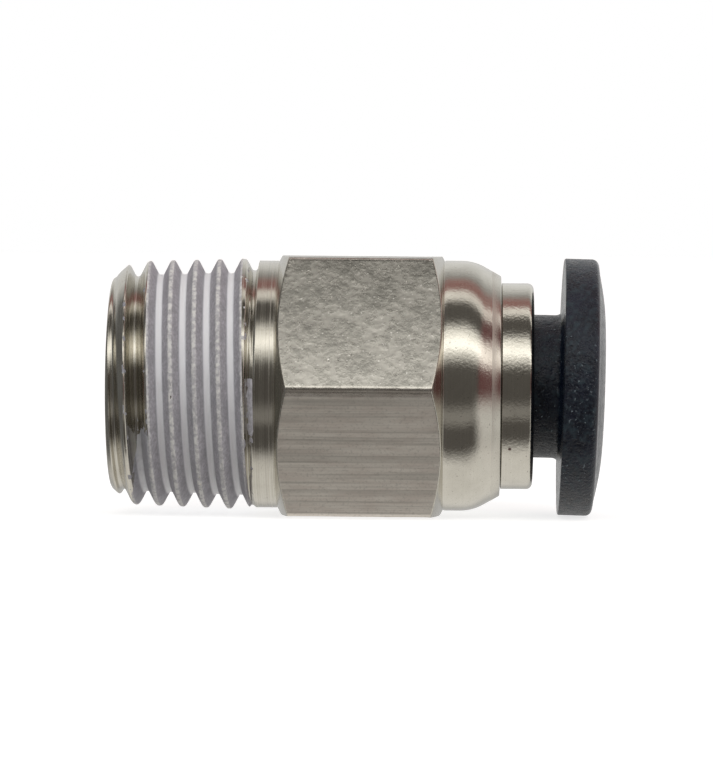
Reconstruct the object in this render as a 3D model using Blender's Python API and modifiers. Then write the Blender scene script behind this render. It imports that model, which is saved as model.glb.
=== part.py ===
"""Straight push-to-connect fitting: R1/8 male taper thread, 10 mm hexagon, 4 mm tube.

Run with: blender --background --python part.py   (Blender 4.5, metres, +Z up)

The fitting lies on a flat of its hexagon. Its axis is world X, thread at -X and release
sleeve at +X, and the world origin is halfway along it. Every piece is modelled about its
own local Z, in an axis frame whose heights count from the thread's end face.
"""

import math

import bmesh
import bpy
from mathutils import Matrix, Vector

MM = 0.001

# Driving dimensions
TUBE_R = 2.0 * MM
PITCH = 25.4 / 28 * MM
THREAD_TAPER = 1 / 32  # radius gained per unit of length: a 1:16 taper on diameter
THREAD_R = 4.69 * MM  # crest radius at the thread's small end
HEX_ACROSS_FLATS = 10.0 * MM
CAVITY_R = 3.57 * MM  # bore of the body that holds the seal, rings and claw
NECK_R = 2.77 * MM
TOOTH_COUNT = 8
TOOTH_REST = math.radians(45)  # lean of a tooth from the fitting's axis, at rest

# Heights along the axis, from the thread's end face
TUBE_STOP = 5.20 * MM
COLLAR = 5.60 * MM
HEX_START = 6.45 * MM
SEAL_SEAT = 9.20 * MM
BACK_RING = 10.83 * MM
CLAW = 12.75 * MM
HEX_END = 12.82 * MM
GUIDE = 13.00 * MM
BODY_END = 15.02 * MM
GUIDE_END = 16.28 * MM
FLANGE = 17.31 * MM
FLANGE_RIM = 18.66 * MM
LENGTH = 19.06 * MM

# Whitworth thread form
FLANK = math.tan(math.radians(27.5))
THREAD_DEPTH = 0.6403 * PITCH
ROOT_WIDTH = PITCH / 6
GROOVE_START = -0.46 * PITCH  # height of the groove's middle at local angle 0
GROOVE_TURNS = 6.95
RUN_OUT_START = 6.4  # turns at which the groove starts to rise out of the metal
RUN_OUT_LIFT = 0.70 * MM
SEALANT_TURNS = (2.0, 6.2)
SEALANT_DEPTH = 0.16 * MM

# Body
THREAD_END_R = 4.10 * MM
THREAD_CHAMFER = 0.72 * MM
COLLAR_R = 4.79 * MM
RELIEF_R = 4.64 * MM  # bottom of the shallow turned groove before the collar
RELIEF = (5.30 * MM, 5.42 * MM)  # heights of its edge and of its bottom
HEX_FACE_R = 4.80 * MM
HEX_CHAMFER = math.tan(math.radians(27))
HEX_EDGE = 0.30 * MM
SHOULDER_R = 4.845 * MM
SHOULDER_CYLINDER = 0.68 * MM
SHOULDER_BEND = 1.80 * MM
SHOULDER_SLOPE = math.radians(29)
BORE_R = 1.50 * MM
TUBE_BORE_R = TUBE_R + 0.06 * MM
EDGE_BREAK = 0.15 * MM

# Pieces inside the body
FIT = 0.03 * MM  # gap between pieces that touch in the real fitting
SEAL_BORE_R = 2.22 * MM
SEAL_BORE_START = 1.12 * MM  # this and the next three are heights over the seal's foot
SEAL_LIP_END = 0.58 * MM
SEAL_LIP_START = 0.38 * MM
SEAL_MOUTH_START = 0.16 * MM
SEAL_LIP_R = TUBE_R - 0.07 * MM
SEAL_MOUTH_R = 2.34 * MM
SEAL_GROOVE_R = (2.64 * MM, 2.82 * MM)  # radii of the sides of the groove's floor
SEAL_GROOVE_DEPTH = 0.82 * MM
SEAL_FOOT_R = 3.02 * MM
BACK_RING_WALL = 0.53 * MM
BACK_RING_CONE_R = (2.55 * MM, 3.20 * MM)
SHEET = 0.22 * MM  # thickness of the claw's sheet steel
CLAW_INNER_R = 3.12 * MM
HINGE_R = 2.98 * MM
TOOTH_LENGTH = 1.54 * MM
TOOTH_TIP_R = TUBE_R - 0.10 * MM
TOOTH_ROOT_WIDTH = 2.06 * MM
TOOTH_ROOT_GAP = 0.07 * MM  # lets the root's corners swing clear of the claw's rim
TOOTH_TIP_WIDTH = 1.16 * MM
CLAW_NOTCH_WIDTH = 0.35 * MM

# Guide ring and release sleeve
GUIDE_R = 3.99 * MM
GUIDE_ROUND = 0.23 * MM
GUIDE_STEP = 14.88 * MM  # height of the shoulder that keeps the sleeve's lip in
SLEEVE_BORE_R = TUBE_R + 0.05 * MM
SLEEVE_PLAY = 0.09 * MM  # gap round the sleeve's neck
NOSE_R = 2.25 * MM
NOSE_BODY_R = 2.60 * MM
NOSE_LENGTH = 0.75 * MM
LIP_R = 3.04 * MM
LIP_LENGTH = 0.28 * MM
LIP_RAMP = 0.57 * MM
FLANGE_R = 4.99 * MM
FLANGE_ROUND = 0.31 * MM
NECK_FILLET = 0.28 * MM
MOUTH_R = 2.45 * MM
MOUTH_DEPTH = 0.45 * MM
SLOT_WIDTH = 0.45 * MM
SLOT_COUNT = 4
SLOT_END = 0.3 * MM  # how far the slots run past the lip

SEGMENTS = 64  # facets round a turned piece
THREAD_STEPS = 48  # steps in one turn of the thread
CREASE = math.radians(35)  # edges sharper than this stay sharp in smooth shading

HINGE_HEIGHT = CLAW + SHEET / 2
SHELF = bpy.data.collections.new("push_to_connect_fitting")
CUTTERS = bpy.data.collections.new("cutters")


def clear_scene():
    for obj in list(bpy.data.objects):
        bpy.data.objects.remove(obj)


def make_axis_frame():
    """The empty whose local Z is the fitting's axis, with its origin at the thread's end face."""
    frame = bpy.data.objects.new("fitting_axis", None)
    frame.matrix_world = Matrix.Translation((-LENGTH / 2, 0, 0)) @ Matrix.Rotation(math.pi / 2, 4, "Y")
    SHELF.objects.link(frame)
    return frame


def make_material(name, color, roughness, metallic):
    material = bpy.data.materials.new(name)
    material.use_nodes = True
    shader = material.node_tree.nodes["Principled BSDF"]
    shader.inputs["Base Color"].default_value = (*color, 1)
    shader.inputs["Roughness"].default_value = roughness
    shader.inputs["Metallic"].default_value = metallic
    material.diffuse_color = (*color, 1)
    return material


def add_object(name, mesh, material, parent):
    obj = bpy.data.objects.new(name, mesh)
    obj.parent = parent
    SHELF.objects.link(obj)
    if material and material.name not in mesh.materials:
        mesh.materials.append(material)
    return obj


def as_cutter(obj):
    SHELF.objects.unlink(obj)
    CUTTERS.objects.link(obj)
    obj.hide_render = True
    obj.display_type = "WIRE"
    return obj


def arc(centre, radius, start, end, steps):
    """Points (radius, height) along an arc in the outline's plane, angles in degrees from outwards."""
    angles = [math.radians(start + (end - start) * i / steps) for i in range(steps + 1)]
    return [(centre[0] + radius * math.cos(a), centre[1] + radius * math.sin(a)) for a in angles]


def outline_mesh(name, outline):
    """A closed outline of (radius, height) points as edges that run down their outer side."""
    after = outline[1:] + outline[:1]
    area = sum(a[0] * b[1] - b[0] * a[1] for a, b in zip(outline, after))
    points = outline if area < 0 else outline[::-1]
    count = len(points)
    mesh = bpy.data.meshes.new(name)
    mesh.from_pydata([(r, 0, h) for r, h in points], [(i, (i + 1) % count) for i in range(count)], [])
    return mesh


def turned(name, outline, material, parent):
    """A ring turned about local Z from a closed outline."""
    obj = add_object(name, outline_mesh(name, outline), material, parent)
    screw = obj.modifiers.new("turn", "SCREW")
    screw.axis = "Z"
    screw.angle = math.tau
    screw.steps = screw.render_steps = SEGMENTS
    screw.use_smooth_shade = False
    return obj


def apply_modifiers(obj):
    bpy.context.view_layer.update()
    evaluated = obj.evaluated_get(bpy.context.evaluated_depsgraph_get())
    obj.data = bpy.data.meshes.new_from_object(evaluated)
    obj.modifiers.clear()
    return obj.data


def shade_round(mesh):
    mesh.shade_smooth()
    mesh.set_sharp_from_angle(angle=CREASE)


def cap_ends(mesh):
    bm = bmesh.new()
    bm.from_mesh(mesh)
    rims = [edge for edge in bm.edges if edge.is_boundary]
    bmesh.ops.holes_fill(bm, edges=rims, sides=0)
    bmesh.ops.recalc_face_normals(bm, faces=bm.faces)
    bm.to_mesh(mesh)
    bm.free()


def helical(name, section, first_turn, last_turn, rise, material, parent):
    """A closed section swept along the thread's helix and its taper.

    rise(turn) is added to the radius at that turn, so a cutter can leave the metal gradually.
    """
    turns = last_turn - first_turn
    obj = add_object(name, outline_mesh(name, section), material, parent)
    screw = obj.modifiers.new("sweep", "SCREW")
    screw.axis = "Z"
    screw.angle = math.tau * turns
    screw.screw_offset = PITCH * turns
    screw.steps = screw.render_steps = round(THREAD_STEPS * turns)
    mesh = apply_modifiers(obj)
    start = Matrix.Translation((0, 0, PITCH * first_turn))
    mesh.transform(start @ Matrix.Rotation(math.tau * first_turn, 4, "Z"))
    for index, vertex in enumerate(mesh.vertices):
        turn = first_turn + index // len(section) / THREAD_STEPS
        x, y, height = vertex.co
        radius = math.hypot(x, y)
        wanted = radius + height * THREAD_TAPER + rise(turn)
        vertex.co = (x * wanted / radius, y * wanted / radius, height)
    cap_ends(mesh)
    return obj


def groove_section(bottom, top, inset):
    """The groove's section between two heights over its root, set in from its flanks."""
    root = THREAD_R - THREAD_DEPTH
    low = ROOT_WIDTH / 2 + bottom * FLANK - inset
    high = ROOT_WIDTH / 2 + top * FLANK - inset
    return [
        (root + bottom, GROOVE_START - low),
        (root + top, GROOVE_START - high),
        (root + top, GROOVE_START + high),
        (root + bottom, GROOVE_START + low),
    ]


def run_out(turn):
    past = max(0.0, turn - RUN_OUT_START) / (GROOVE_TURNS - RUN_OUT_START)
    return RUN_OUT_LIFT * past


def cut(obj, cutter, operation="DIFFERENCE"):
    boolean = obj.modifiers.new(operation.lower(), "BOOLEAN")
    boolean.operation = operation
    boolean.object = cutter
    boolean.solver = "EXACT"
    return boolean


def box_mesh(name, low, high):
    bm = bmesh.new()
    bmesh.ops.create_cube(bm, size=1)
    size = Vector(high) - Vector(low)
    middle = (Vector(high) + Vector(low)) / 2
    bmesh.ops.transform(bm, matrix=Matrix.Translation(middle) @ Matrix.Diagonal((*size, 1)), verts=bm.verts)
    mesh = bpy.data.meshes.new(name)
    bm.to_mesh(mesh)
    bm.free()
    return mesh


def spokes(name, count, phase, low, high, parent):
    """A cutter of boxes set round the axis: low and high are one box's corners at angle 0."""
    bm = bmesh.new()
    for i in range(count):
        box = box_mesh(name, low, high)
        box.transform(Matrix.Rotation(phase + math.tau * i / count, 4, "Z"))
        bm.from_mesh(box)
        bpy.data.meshes.remove(box)
    mesh = bpy.data.meshes.new(name)
    bm.to_mesh(mesh)
    bm.free()
    return as_cutter(add_object(name, mesh, None, parent))


def make_hex_bar(parent):
    """The hexagonal bar that the body is turned from, flats up and down, with rounded corners."""
    bm = bmesh.new()
    corner_r = HEX_ACROSS_FLATS / math.sqrt(3)
    bmesh.ops.create_cone(
        bm, cap_ends=True, segments=6, radius1=corner_r, radius2=corner_r, depth=1.5 * LENGTH,
        matrix=Matrix.Translation((0, 0, BODY_END / 2)),
    )
    mesh = bpy.data.meshes.new("hex_bar")
    bm.to_mesh(mesh)
    bm.free()
    bar = as_cutter(add_object("hex_bar", mesh, None, parent))
    corner = bar.modifiers.new("round_corners", "BEVEL")
    corner.width = HEX_EDGE * math.tan(math.radians(30))
    corner.segments = 3
    corner.limit_method = "ANGLE"
    return bar


def shoulder_points():
    """The outer curve of the front shoulder, from the hexagon's face to the body's end."""
    bend_start = HEX_END + SHOULDER_CYLINDER
    centre = (SHOULDER_R - SHOULDER_BEND, bend_start)
    bend = arc(centre, SHOULDER_BEND, 0, math.degrees(SHOULDER_SLOPE), 5)
    last_r, last_height = bend[-1]
    end_r = last_r - (BODY_END - last_height) * math.tan(SHOULDER_SLOPE)
    return [(SHOULDER_R, HEX_END)] + bend + [(end_r, BODY_END)]


def make_body(nickel, parent):
    """Threaded stem, hexagon and front shoulder: one piece of plated brass."""
    relief_start, relief_bottom = RELIEF
    bar_r = HEX_ACROSS_FLATS / math.sqrt(3)
    chamfer = (bar_r - HEX_FACE_R) * HEX_CHAMFER
    outline = [
        (BORE_R + EDGE_BREAK, 0),
        (THREAD_END_R, 0),
        (THREAD_R + THREAD_CHAMFER * THREAD_TAPER, THREAD_CHAMFER),
        (THREAD_R + relief_start * THREAD_TAPER, relief_start),
        (RELIEF_R, relief_bottom),
        (COLLAR_R, COLLAR),
        (COLLAR_R, HEX_START),
        (HEX_FACE_R, HEX_START),
        (bar_r, HEX_START + chamfer),
        (bar_r, HEX_END - chamfer),
        (SHOULDER_R + 0.01 * MM, HEX_END),
        *shoulder_points(),
        (CAVITY_R + EDGE_BREAK, BODY_END),
        (CAVITY_R, BODY_END - EDGE_BREAK),
        (CAVITY_R, SEAL_SEAT),
        (TUBE_BORE_R + EDGE_BREAK, SEAL_SEAT),
        (TUBE_BORE_R, SEAL_SEAT - EDGE_BREAK),
        (TUBE_BORE_R, TUBE_STOP),
        (BORE_R, TUBE_STOP),
        (BORE_R, EDGE_BREAK),
    ]
    body = turned("body", outline, nickel, parent)
    groove = groove_section(0, THREAD_DEPTH + 0.08 * MM, 0)
    cutter = as_cutter(helical("thread_groove", groove, 0, GROOVE_TURNS, run_out, None, parent))
    cut(body, make_hex_bar(parent), "INTERSECT")
    cut(body, cutter)
    return body


def make_thread_sealant(sealant, parent):
    """Dried sealing compound in the bottom of the thread's groove."""
    section = groove_section(FIT, FIT + SEALANT_DEPTH, FIT)
    return helical("thread_sealant", section, *SEALANT_TURNS, lambda turn: 0, sealant, parent)


def make_tube_seal(rubber, parent):
    """Lip seal: its lip grips the tube, and its groove faces the pressure in the port."""
    low, high = SEAL_SEAT + FIT, BACK_RING - FIT
    outline = [
        (CAVITY_R - FIT, low),
        (CAVITY_R - FIT, high),
        (SEAL_BORE_R, high),
        (SEAL_BORE_R, low + SEAL_BORE_START),
        (SEAL_LIP_R, low + SEAL_LIP_END),
        (SEAL_LIP_R + 0.03 * MM, low + SEAL_LIP_START),
        (SEAL_MOUTH_R, low + SEAL_MOUTH_START),
        (SEAL_GROOVE_R[0], low + SEAL_GROOVE_DEPTH),
        (SEAL_GROOVE_R[1], low + SEAL_GROOVE_DEPTH),
        (SEAL_FOOT_R, low),
    ]
    return turned("tube_seal", outline, rubber, parent)


def make_back_ring(nickel, parent):
    """Spacer that backs the seal and gives the claw's teeth room to open."""
    high = CLAW - FIT
    floor = BACK_RING + BACK_RING_WALL
    cone_start_r, cone_end_r = BACK_RING_CONE_R
    bore_r = TUBE_BORE_R + 0.06 * MM
    outline = [
        (CAVITY_R - FIT, BACK_RING),
        (CAVITY_R - FIT, high),
        (cone_end_r, high),
        (cone_start_r, floor + 0.05 * MM),
        (cone_start_r, floor),
        (bore_r, floor),
        (bore_r, BACK_RING),
    ]
    return turned("seal_back_ring", outline, nickel, parent)


def make_claw_ring(steel, parent):
    """The claw's flat rim, notched between the teeth."""
    rim_r = CAVITY_R - 0.06 * MM
    outline = [(rim_r, CLAW), (rim_r, CLAW + SHEET), (CLAW_INNER_R, CLAW + SHEET), (CLAW_INNER_R, CLAW)]
    ring = turned("claw_ring", outline, steel, parent)
    notch_depth = 0.15 * MM
    low = (CLAW_INNER_R - notch_depth, -CLAW_NOTCH_WIDTH / 2, CLAW - SHEET)
    high = (CLAW_INNER_R + notch_depth, CLAW_NOTCH_WIDTH / 2, CLAW + 2 * SHEET)
    cut(ring, spokes("claw_notches", TOOTH_COUNT, math.pi / TOOTH_COUNT, low, high, parent))
    return ring


def tooth_mesh():
    """One claw tooth about its bend line: X points away from the axis and Z towards the tube's mouth.

    Its tip is cut to the round of the tube that it bites, and its root to the round of the claw's rim.
    """
    plate = box_mesh(
        "claw_tooth",
        (-SHEET / 2, -TOOTH_ROOT_WIDTH / 2, -TOOTH_LENGTH),
        (SHEET / 2, TOOTH_ROOT_WIDTH / 2, 0),
    )
    for vertex in plate.vertices:
        if vertex.co.z < -TOOTH_LENGTH / 2:
            vertex.co.y *= TOOTH_TIP_WIDTH / TOOTH_ROOT_WIDTH
    plate.transform(Matrix.Rotation(TOOTH_REST, 4, "Y"))
    tooth = add_object("claw_tooth_blank", plate, None, None)
    root_r = CLAW_INNER_R - TOOTH_ROOT_GAP
    rounds = [
        (TOOTH_TIP_R, -2 * TOOTH_LENGTH),
        (root_r, -2 * TOOTH_LENGTH),
        (root_r, TOOTH_LENGTH),
        (TOOTH_TIP_R, TOOTH_LENGTH),
    ]
    cutter = as_cutter(turned("tooth_rounds", rounds, None, None))
    cutter.location.x = -HINGE_R
    cut(tooth, cutter, "INTERSECT")
    mesh = apply_modifiers(tooth)
    bpy.data.objects.remove(tooth)
    bpy.data.objects.remove(cutter)
    return mesh


def make_claw_teeth(steel, parent):
    """The claw's sprung teeth, each with its origin on its bend line."""
    mesh = tooth_mesh()
    for i in range(TOOTH_COUNT):
        tooth = add_object(f"claw_tooth_{i + 1}", mesh, steel, parent)
        turn = Matrix.Rotation(math.tau * i / TOOTH_COUNT, 4, "Z")
        tooth.matrix_local = turn @ Matrix.Translation((HINGE_R, 0, HINGE_HEIGHT))


def make_guide_ring(nickel, parent):
    """Ring pressed into the body: it clamps the claw's rim and guides the release sleeve."""
    front = arc((GUIDE_R - GUIDE_ROUND, GUIDE_END - GUIDE_ROUND), GUIDE_ROUND, 0, 90, 4)
    bore_r = NECK_R + SLEEVE_PLAY
    sleeve_r = CAVITY_R - 0.02 * MM
    lead = 0.1 * MM
    outline = [
        (sleeve_r - lead, GUIDE),
        (sleeve_r, GUIDE + lead),
        (sleeve_r, BODY_END + FIT),
        (GUIDE_R, BODY_END + FIT),
        *front,
        (bore_r + EDGE_BREAK, GUIDE_END),
        (bore_r, GUIDE_END - EDGE_BREAK),
        (bore_r, GUIDE_STEP),
        (CLAW_INNER_R, GUIDE_STEP),
        (CLAW_INNER_R, GUIDE),
    ]
    return turned("guide_ring", outline, nickel, parent)


def make_release_sleeve(plastic, parent):
    """Sleeve with a flange for the fingers, a lip that keeps it in, and a nose that opens the claw."""
    nose = HINGE_HEIGHT - 0.12 * MM
    lip_end = GUIDE_STEP - 0.04 * MM
    rim = FLANGE_R - FLANGE_ROUND
    front = arc((rim, FLANGE_RIM - FLANGE_ROUND), FLANGE_ROUND, 0, 75, 4)
    rim_r, rim_height = front[-1]
    dome = [
        (rim_r + (MOUTH_R - rim_r) * t, rim_height + (LENGTH - rim_height) * math.sin(t * math.pi / 2))
        for t in (0.25, 0.5, 0.75, 1)
    ]
    neck = arc((NECK_R + NECK_FILLET, FLANGE - NECK_FILLET), NECK_FILLET, 180, 90, 4)
    outline = [
        (SLEEVE_BORE_R, nose),
        (NOSE_R, nose),
        (NOSE_BODY_R, nose + NOSE_LENGTH),
        (NOSE_BODY_R, lip_end - LIP_LENGTH - LIP_RAMP),
        (LIP_R, lip_end - LIP_LENGTH),
        (LIP_R, lip_end),
        (NECK_R, lip_end),
        *neck,
        (FLANGE_R, FLANGE),
        *front,
        *dome,
        (SLEEVE_BORE_R + 0.08 * MM, LENGTH - MOUTH_DEPTH / 2),
        (SLEEVE_BORE_R, LENGTH - MOUTH_DEPTH),
    ]
    sleeve = turned("release_sleeve", outline, plastic, parent)
    low = (0.9 * SLEEVE_BORE_R, -SLOT_WIDTH / 2, nose - SLOT_WIDTH)
    high = (LIP_R + SLOT_WIDTH, SLOT_WIDTH / 2, lip_end + SLOT_END)
    cut(sleeve, spokes("sleeve_slots", SLOT_COUNT, math.pi / 4, low, high, parent))
    return sleeve


def main():
    clear_scene()
    bpy.context.scene.collection.children.link(SHELF)
    bpy.context.scene.collection.children.link(CUTTERS)
    axis = make_axis_frame()
    nickel = make_material("nickel_plate", (0.66, 0.63, 0.57), 0.28, 1)
    sealant = make_material("thread_sealant", (0.66, 0.65, 0.70), 0.75, 0)
    rubber = make_material("nitrile_rubber", (0.02, 0.02, 0.02), 0.7, 0)
    steel = make_material("spring_steel", (0.60, 0.60, 0.60), 0.3, 1)
    plastic = make_material("black_acetal", (0.02, 0.02, 0.025), 0.45, 0)
    round_pieces = [
        make_body(nickel, axis),
        make_thread_sealant(sealant, axis),
        make_tube_seal(rubber, axis),
        make_back_ring(nickel, axis),
        make_claw_ring(steel, axis),
        make_guide_ring(nickel, axis),
        make_release_sleeve(plastic, axis),
    ]
    for piece in round_pieces:
        shade_round(apply_modifiers(piece))
    make_claw_teeth(steel, axis)


main()
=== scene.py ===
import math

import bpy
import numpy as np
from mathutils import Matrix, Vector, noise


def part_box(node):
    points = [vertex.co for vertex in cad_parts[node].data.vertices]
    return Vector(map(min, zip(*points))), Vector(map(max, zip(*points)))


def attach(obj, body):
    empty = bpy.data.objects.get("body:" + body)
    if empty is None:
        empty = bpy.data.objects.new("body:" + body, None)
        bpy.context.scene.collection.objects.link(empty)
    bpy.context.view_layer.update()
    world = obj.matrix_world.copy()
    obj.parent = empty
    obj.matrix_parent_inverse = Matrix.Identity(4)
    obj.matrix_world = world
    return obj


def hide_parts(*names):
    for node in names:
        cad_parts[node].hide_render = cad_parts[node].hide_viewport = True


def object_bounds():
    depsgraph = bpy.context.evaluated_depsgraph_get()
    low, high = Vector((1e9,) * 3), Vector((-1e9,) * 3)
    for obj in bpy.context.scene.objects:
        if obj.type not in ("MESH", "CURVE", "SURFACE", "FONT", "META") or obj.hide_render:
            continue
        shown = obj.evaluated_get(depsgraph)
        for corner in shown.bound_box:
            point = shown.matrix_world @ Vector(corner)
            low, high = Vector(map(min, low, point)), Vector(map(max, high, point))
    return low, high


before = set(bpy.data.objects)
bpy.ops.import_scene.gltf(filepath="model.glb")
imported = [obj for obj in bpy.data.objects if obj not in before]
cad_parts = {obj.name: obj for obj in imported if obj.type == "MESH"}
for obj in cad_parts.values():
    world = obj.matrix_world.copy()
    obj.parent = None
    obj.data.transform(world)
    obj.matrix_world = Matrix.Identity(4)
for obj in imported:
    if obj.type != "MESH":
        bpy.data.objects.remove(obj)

# Looks of a straight push-to-connect fitting: plated body with its thread and sealant, guide ring,
# claw, seal and black release sleeve, on a pale floor in soft studio light. The fitting's axis is
# world X. Fine pieces are made as stacks of rings: a radius and a height along the axis for every
# angle, where angle 0 points down and angles grow towards the far side (+Y).

MM = 0.001
CAD_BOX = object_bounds()
BODY_LOW, BODY_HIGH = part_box("body")
GUIDE_LOW, GUIDE_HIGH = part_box("guide_ring")
SLEEVE_LOW, SLEEVE_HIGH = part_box("release_sleeve")
SEAL_LOW, SEAL_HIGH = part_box("tube_seal")
BACK_LOW, BACK_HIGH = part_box("seal_back_ring")

# Heights along the axis, counted from the thread's end face, which lies at world X = START
START = BODY_LOW.x
LENGTH = SLEEVE_HIGH.x - START
BODY_END = BODY_HIGH.x - START
GUIDE = GUIDE_LOW.x - START
GUIDE_END = GUIDE_HIGH.x - START
NOSE = SLEEVE_LOW.x - START
TUBE_STOP = 5.20 * MM
THREAD_STOP = 5.62 * MM
HEX_START = 6.45 * MM
SEAL_SEAT = 9.20 * MM
HEX_END = 12.82 * MM
GUIDE_STEP = 14.88 * MM
FLANGE = 17.31 * MM
FLANGE_RIM = 18.66 * MM

# Thread
PITCH = 25.4 / 28 * MM
THREAD_TAPER = 1 / 32
THREAD_R = 4.69 * MM
THREAD_DEPTH = 0.6403 * PITCH
ROOT_ROUND = 0.1373 * PITCH
FLANK_ANGLE = math.radians(27.5)
GROOVE_START = -0.46 * PITCH
GROOVE_TURNS = 6.95
GROOVE_PASSES = 8  # turns that are looked at: the groove's own and one more
RUN_OUT_START = 6.4
RUN_OUT_LIFT = 0.70 * MM
CREST_BLEND = 0.045 * MM

# Radii, and the hexagon's and shoulder's shape
ACROSS_FLATS = BODY_HIGH.z - BODY_LOW.z
COLLAR_R = 4.79 * MM
HEX_FACE_R = 4.80 * MM
HEX_CHAMFER = math.tan(math.radians(27))
HEX_EDGE = 0.27 * MM
HEX_CROWN = 0.045 * MM
SHOULDER_R = 4.845 * MM
SHOULDER_BEND = 1.80 * MM
SHOULDER_SLOPE = math.radians(29)
SHOULDER_CYLINDER = 0.68 * MM
CAVITY_R = 3.57 * MM
BORE_R = 1.50 * MM
TUBE_BORE_R = 2.06 * MM
EDGE_BREAK = 0.15 * MM
GUIDE_R = GUIDE_HIGH.z
FLANGE_R = SLEEVE_HIGH.z - 0.02 * MM
NECK_R = 2.77 * MM

# Where the collar, the shoulder and the end face begin and end
COLLAR_STOP = 6.38 * MM
COLLAR_END = ((4.787, 6.40), (4.775, 6.415), (4.772, 6.44))  # radius and height, mm
SHOULDER_FOOT = ((4.825, 0.015), (4.831, 0.05))  # radius, and height past the hexagon, mm
FACE_R = 4.00 * MM  # where the end face turns into the thread's chamfer

HEX_ANGLES_WIDE = 16  # columns on half a flat, away from its corners
HEX_ANGLES_CLOSE = 8  # columns on each side of a corner
CORNER_REACH = math.radians(2.2)
ROUND_SEGMENTS = 192
OUTLINE_STEP = 0.4 * MM  # longest straight run of an outline without a row

# The sleeve's neck bends a little in its clearance, so that the flange hangs askew
SLEEVE_DROP = 0.02 * MM
SLEEVE_TILT = math.radians(1.2)
FLANGE_BACK = FLANGE + 0.06 * MM
SLEEVE_END = LENGTH - 0.055 * MM
NECK_FILLET = 0.28 * MM


# ---------------------------------------------------------------- geometry

def body_angles():
    """Column angles round the axis, closer together at the hexagon's corners."""
    half = math.radians(30)
    wide = np.linspace(-half, -CORNER_REACH, HEX_ANGLES_WIDE, endpoint=False)
    close = np.linspace(-CORNER_REACH, 0, HEX_ANGLES_CLOSE, endpoint=False)
    before = np.concatenate([wide, close])
    sector = np.concatenate([before, [0.0], -before[:0:-1]])
    return np.concatenate([half + sector + i * math.pi / 3 for i in range(6)])


def ring_stack(name, rows, angles, slots=None):
    """A closed mesh from rings that run round a closed loop; a row is (radius, height) per angle."""
    radius = np.array([np.broadcast_to(r, angles.shape) for r, _ in rows])
    height = np.array([np.broadcast_to(h, angles.shape) for _, h in rows])
    points = np.stack([START + height, radius * np.sin(angles), -radius * np.cos(angles)], axis=-1)
    count, around = radius.shape
    index = np.arange(count * around).reshape(count, around)
    after = np.roll(index, -1, axis=0)
    faces = np.stack([index, np.roll(index, -1, axis=1), np.roll(after, -1, axis=1), after], axis=-1)
    mesh = bpy.data.meshes.new(name)
    mesh.from_pydata(points.reshape(-1, 3), [], faces.reshape(-1, 4).tolist())
    mesh.shade_smooth()
    if slots is not None:
        mesh.polygons.foreach_set("material_index", np.repeat(slots, around).astype(np.int32))
    return mesh


def add_piece(name, mesh, *materials):
    """Put a mesh in the scene, with its materials in the order of its slots."""
    piece = bpy.data.objects.new(name, mesh)
    bpy.context.scene.collection.objects.link(piece)
    for material in materials:
        mesh.materials.append(material)
    return piece


def spaced(start, end, step):
    """Values from start to end, about a step apart."""
    return np.linspace(start, end, max(2, round(abs(end - start) / step) + 1))


def rounded(outline, closed=True):
    """Points of an outline whose corners are rounded: each corner is (radius, height, rounding)."""
    points = []
    count = len(outline)
    for i, (r, h, rounding) in enumerate(outline):
        corner = np.array([r, h])
        if not closed and i in (0, count - 1):
            points.append([corner])
            continue
        before = np.array(outline[i - 1][:2]) - corner
        after = np.array(outline[(i + 1) % count][:2]) - corner
        u, v = before / np.linalg.norm(before), after / np.linalg.norm(after)
        half_angle = math.acos(np.clip(u @ v, -1, 1)) / 2
        if rounding == 0 or half_angle > math.radians(89):
            points.append([corner])
            continue
        reach = rounding / math.tan(half_angle)
        reach = min(reach, 0.45 * np.linalg.norm(before), 0.45 * np.linalg.norm(after))
        radius = reach * math.tan(half_angle)
        middle = corner + (u + v) / np.linalg.norm(u + v) * radius / math.sin(half_angle)
        first, last = corner + u * reach - middle, corner + v * reach - middle
        turn = math.atan2(first[0] * last[1] - first[1] * last[0], first @ last)
        steps = max(2, round(abs(turn) / math.radians(15)))
        hold = min(0.5 * radius, 0.05 * MM)
        bend = []
        for a in np.linspace(0, turn, steps + 1):
            c, s = math.cos(a), math.sin(a)
            bend.append(middle + np.array([c * first[0] - s * first[1], s * first[0] + c * first[1]]))
        points.append([bend[0] + u * hold, *bend, bend[-1] + v * hold])
    chain = []
    for i, group in enumerate(points):
        chain.extend(group)
        if i + 1 < count or closed:
            reach = points[(i + 1) % count][0] - group[-1]
            parts = int(np.linalg.norm(reach) // OUTLINE_STEP)
            chain.extend(group[-1] + reach * k / (parts + 1) for k in range(1, parts + 1))
    return [(point[0], point[1]) for point in chain]


def turned(name, outline, material):
    """A turned piece: its outline runs along the outer side first, towards +X."""
    angles = np.linspace(0, math.tau, ROUND_SEGMENTS, endpoint=False)
    return add_piece(name, ring_stack(name, rounded(outline), angles), material)


def smooth_min(values, blend):
    """The lower envelope of several surfaces, rounded where they cross."""
    lowest = np.min(values, axis=0)
    return lowest - blend * np.log(np.sum(np.exp((lowest - values) / blend), axis=0))


def smooth_step(value, low, high):
    """From 0 to 1, smoothly, while the value goes from low to high."""
    t = np.clip((value - low) / (high - low), 0, 1)
    return t * t * (3 - 2 * t)


def noise_at(points, scale, seed):
    """Smooth noise, about -1 to 1, at points in metres; scale is one feature's size."""
    offset = Vector((seed * 17.3, seed * 5.1, seed * 9.7))
    flat = points.reshape(-1, 3) / scale
    values = np.array([noise.noise(Vector(point) + offset) for point in flat])
    return 2 * values.reshape(points.shape[:-1])


def on_cylinder(radius, angle, height):
    """Points at a radius, an angle and a height along the axis."""
    return np.stack([height, radius * np.sin(angle), -radius * np.cos(angle)], axis=-1)


# ---------------------------------------------------------------- thread

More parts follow.
